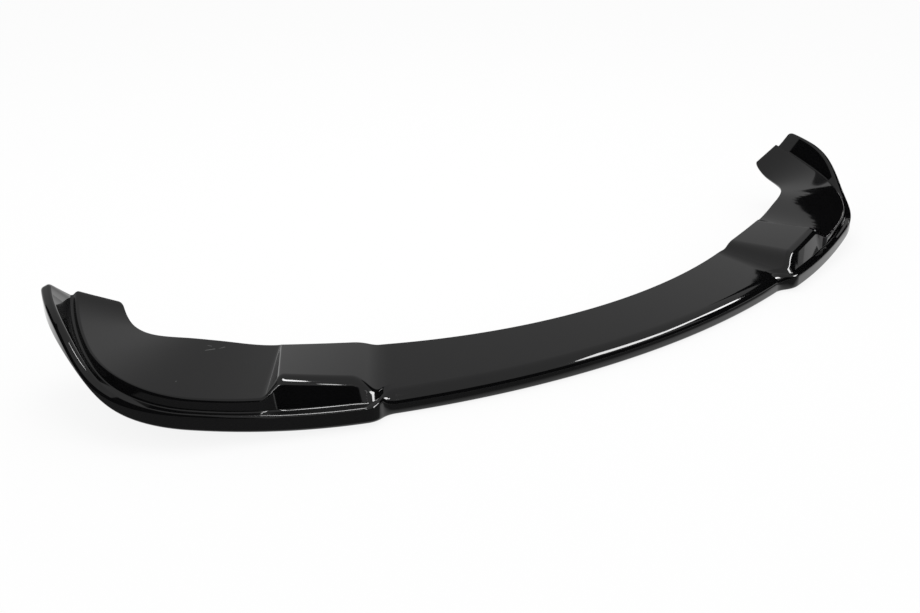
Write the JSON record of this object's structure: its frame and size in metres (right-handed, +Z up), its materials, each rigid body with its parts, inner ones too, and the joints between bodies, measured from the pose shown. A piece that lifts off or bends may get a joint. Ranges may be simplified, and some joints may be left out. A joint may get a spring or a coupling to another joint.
{
  "type": "front splitter lip",
  "caption": "Gloss-black thermoformed lip for the underside of a car's front bumper, with an upturned rim at each end and a raised pad on each side.",
  "frame": {"origin": "below the middle of the part, level with the nose's lower edge", "axes": "+X along the car's width, -Y towards the nose, +Z up"},
  "size_m": [1.7914, 0.4494, 0.181],
  "materials": {
    "gloss_black": "high gloss"
  },
  "bodies": {
    "root": {"splitter_lip": "gloss_black"}
  },
  "joints": []
}
